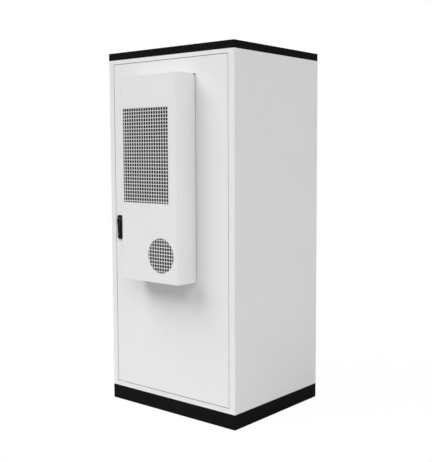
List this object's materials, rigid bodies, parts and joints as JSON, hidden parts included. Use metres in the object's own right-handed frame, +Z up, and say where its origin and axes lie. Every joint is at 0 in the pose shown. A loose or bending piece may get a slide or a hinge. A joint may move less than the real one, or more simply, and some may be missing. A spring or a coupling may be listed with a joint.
{
  "type": "outdoor battery cabinet",
  "caption": "Tall free-standing outdoor battery cabinet with racked packs and a hinged front door that carries a box-shaped air conditioner and a swing-handle rod lock.",
  "frame": {"origin": "centre of the footprint on the floor, which is also the centre of the anchor holes", "axes": "+Z up, +X to the right seen from the front, -Y towards the front door"},
  "size_m": [1, 0.951, 2.15],
  "materials": {
    "white_paint": "white textured powder coat, satin",
    "unit_paint": "white powder coat, smoother than the cabinet's",
    "grille_paint": "white powder coat on punched sheet",
    "black_paint": "black textured powder coat, satin",
    "grey_paint": "light grey powder coat, satin",
    "pack_paint": "dark grey powder coat, satin",
    "red_paint": "red gloss enamel",
    "compressor_paint": "black enamel",
    "galvanised_steel": "galvanised sheet, matt",
    "zinc_steel": "zinc plated, satin",
    "coil_aluminium": "fine finned aluminium",
    "copper": "bare copper, brushed",
    "insulated_link": "orange insulating sleeve",
    "insulation_foam": "closed-cell foam board",
    "gasket_rubber": "foamed rubber seal, matt",
    "black_plastic": "moulded black plastic",
    "handle_black": "glass-filled black plastic, fine texture",
    "white_plastic": "moulded white plastic",
    "yellow_plastic": "yellow moulded plate",
    "red_plastic": "red moulded knob"
  },
  "bodies": {
    "cabinet": {"plinth": "black_paint", "floor_plate": "galvanised_steel", "gland_plate": "galvanised_steel", "cable_glands": "black_plastic", "front_frame": "white_paint", "corner_posts": "galvanised_steel", "frame_rails": "galvanised_steel", "left_side_panel": "white_paint", "right_side_panel": "white_paint", "rear_panel": "white_paint", "roof_panel": "white_paint", "roof_cap": "black_paint", "wall_insulation": "insulation_foam", "rack_uprights": "galvanised_steel", "pack_shelves": "galvanised_steel", "pack_links": "insulated_link", "control_box": "grey_paint", "isolator_plate": "yellow_plastic", "earth_bar": "copper", "smoke_detector": "white_plastic", "fire_canister": "red_paint", "canister_saddles": "galvanised_steel", "hinge_arms": "zinc_steel", "battery_packs_1": "pack_paint", "battery_packs_2": "pack_paint", "battery_packs_3": "pack_paint", "battery_packs_4": "pack_paint", "battery_packs_5": "pack_paint", "battery_packs_6": "pack_paint"},
    "door": {"door_panel": "white_paint", "door_edges": "white_paint", "door_inner_ring": "white_paint", "door_gasket": "gasket_rubber", "door_stiffeners": "white_paint", "hinge_lugs": "zinc_steel", "hinge_pins": "zinc_steel", "ac_gasket": "gasket_rubber", "ac_base_plate": "galvanised_steel", "ac_cover": "unit_paint", "condenser_grille": "grille_paint", "fan_grille": "grille_paint", "ac_partition": "galvanised_steel", "ac_floor": "galvanised_steel", "condenser_coil": "coil_aluminium", "evaporator_coil": "coil_aluminium", "compressor": "compressor_paint", "ac_controller": "black_plastic", "fan_shroud": "black_plastic", "fan_motors": "black_plastic", "handle_base": "handle_black", "rod_guides": "zinc_steel"},
    "spindle": {"handle_spindle": "zinc_steel"},
    "lever": {"handle_lever": "handle_black", "lever_pin": "zinc_steel"},
    "key": {"key_cylinder": "zinc_steel"},
    "upper_rod_body": {"upper_rod": "zinc_steel"},
    "lower_rod_body": {"lower_rod": "zinc_steel"},
    "condenser_fan_body": {"condenser_fan": "black_plastic"},
    "indoor_fan_body": {"indoor_fan": "black_plastic"},
    "isolator": {"isolator_knob": "red_plastic"}
  },
  "joints": [
    {"name": "door_swing", "type": "hinge", "parent": "cabinet", "child": "door", "pos_m": [0.427, -0.388, 1.1], "axis": [0, 0, 1], "range_deg": [0, 105]},
    {"name": "handle_turn", "type": "hinge", "parent": "door", "child": "spindle", "pos_m": [-0.419, -0.402, 1.142], "axis": [0, -1, 0], "range_deg": [0, 90]},
    {"name": "handle_lift", "type": "hinge", "parent": "spindle", "child": "lever", "pos_m": [-0.419, -0.4144, 1.142], "axis": [-1, 0, 0], "range_deg": [0, 35]},
    {"name": "key_turn", "type": "hinge", "parent": "lever", "child": "key", "pos_m": [-0.419, -0.414, 1.048], "axis": [0, -1, 0], "range_deg": [0, 90]},
    {"name": "upper_rod_slide", "type": "slide", "parent": "door", "child": "upper_rod_body", "axis": [0, 0, -1], "range_m": [0, 0.019]},
    {"name": "lower_rod_slide", "type": "slide", "parent": "door", "child": "lower_rod_body", "axis": [0, 0, 1], "range_m": [0, 0.019]},
    {"name": "condenser_fan_spin", "type": "hinge", "parent": "door", "child": "condenser_fan_body", "pos_m": [0.082, -0.53, 0.9635], "axis": [0, -1, 0], "continuous": true},
    {"name": "indoor_fan_spin", "type": "hinge", "parent": "door", "child": "indoor_fan_body", "pos_m": [-0.012, -0.43, 1.88], "axis": [0, -1, 0], "continuous": true},
    {"name": "isolator_turn", "type": "hinge", "parent": "cabinet", "child": "isolator", "pos_m": [0.25, -0.31, 1.807], "axis": [0, -1, 0], "range_deg": [-90, 0]}
  ],
  "couplings": [
    {"joint": "upper_rod_slide", "follows": "handle_turn", "m_per_rad": 0.011704},
    {"joint": "lower_rod_slide", "follows": "handle_turn", "m_per_rad": 0.011704}
  ]
}
